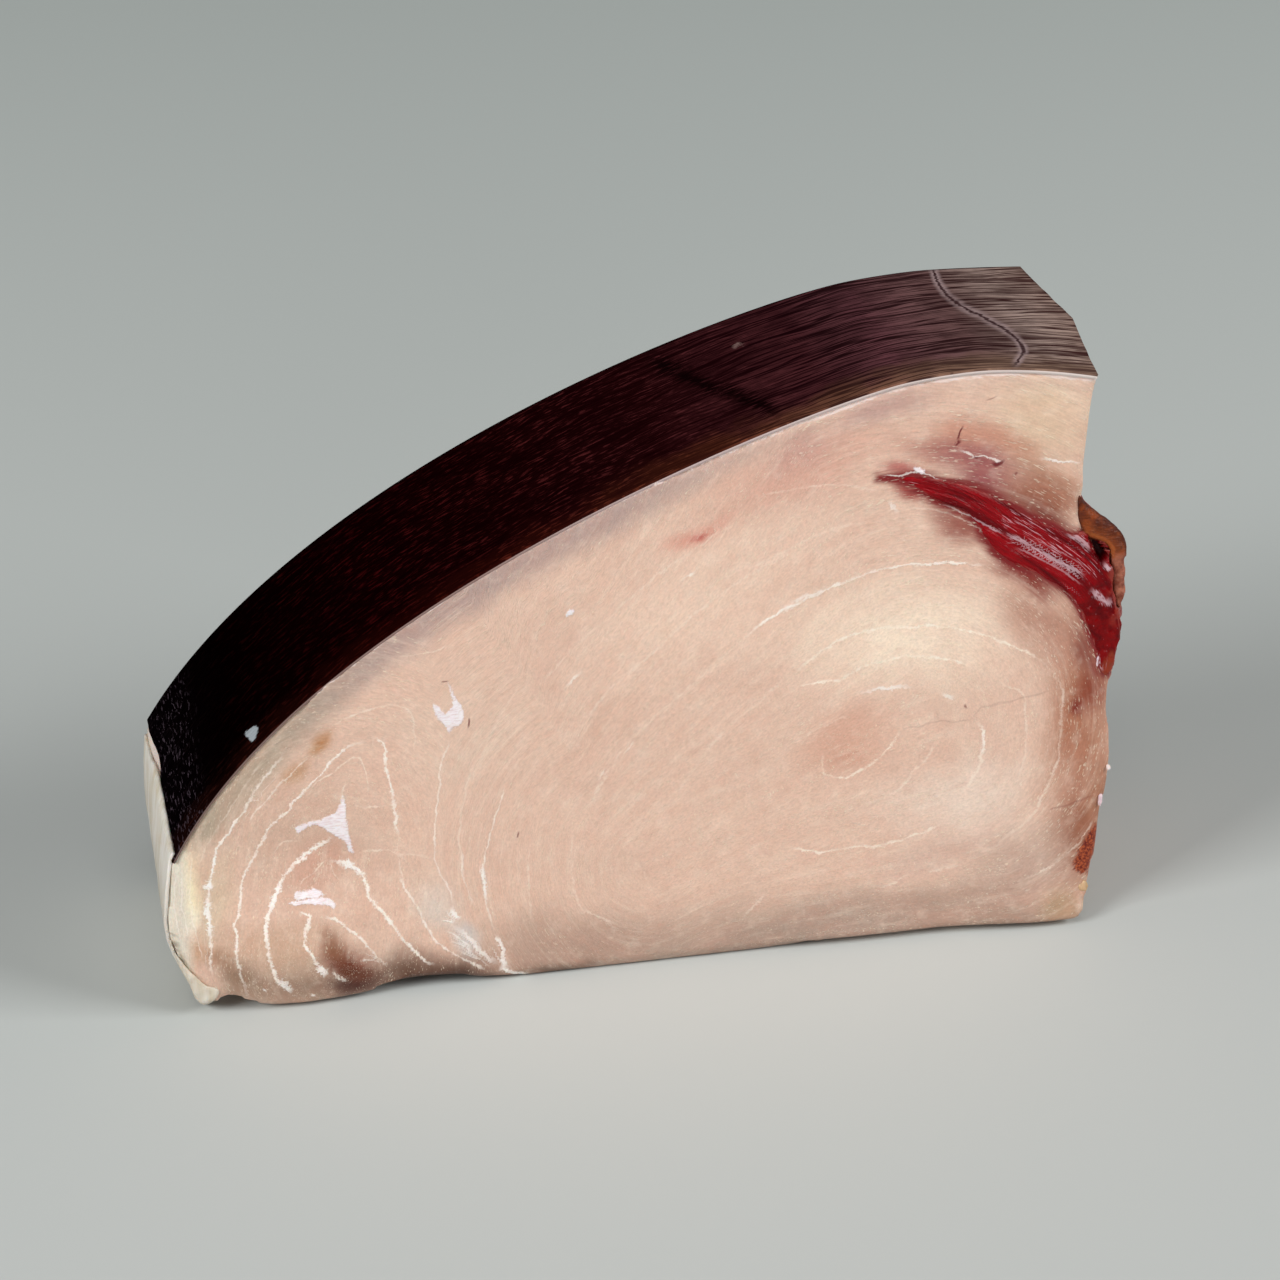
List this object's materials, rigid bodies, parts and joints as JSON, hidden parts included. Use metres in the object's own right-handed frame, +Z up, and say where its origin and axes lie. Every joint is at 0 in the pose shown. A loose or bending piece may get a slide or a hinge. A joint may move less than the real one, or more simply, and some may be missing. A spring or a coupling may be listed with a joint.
{
  "type": "swordfish loin",
  "caption": "Thick cross-cut portion of swordfish loin, skin arched over the top, standing on its flat trimmed side, with a streak of dark muscle at the thick end.",
  "frame": {"origin": "under the middle of the loin's box, on the surface that it stands on", "axes": "+X along the slice towards its thick end, +Y through its thickness from the front knife cut to the back one, +Z up to the skin"},
  "size_m": [0.1468, 0.0442, 0.0938],
  "materials": {
    "flesh": "moist raw flesh, cream to pink, with pale seams between its flakes",
    "skin": "damp dark skin with fine lengthwise streaks, greyer at the thick end",
    "dark_muscle": "wet crimson dark muscle with fibres",
    "membrane": "pale wet fat and membrane"
  },
  "bodies": {
    "root": {"loin": "flesh"}
  },
  "joints": []
}
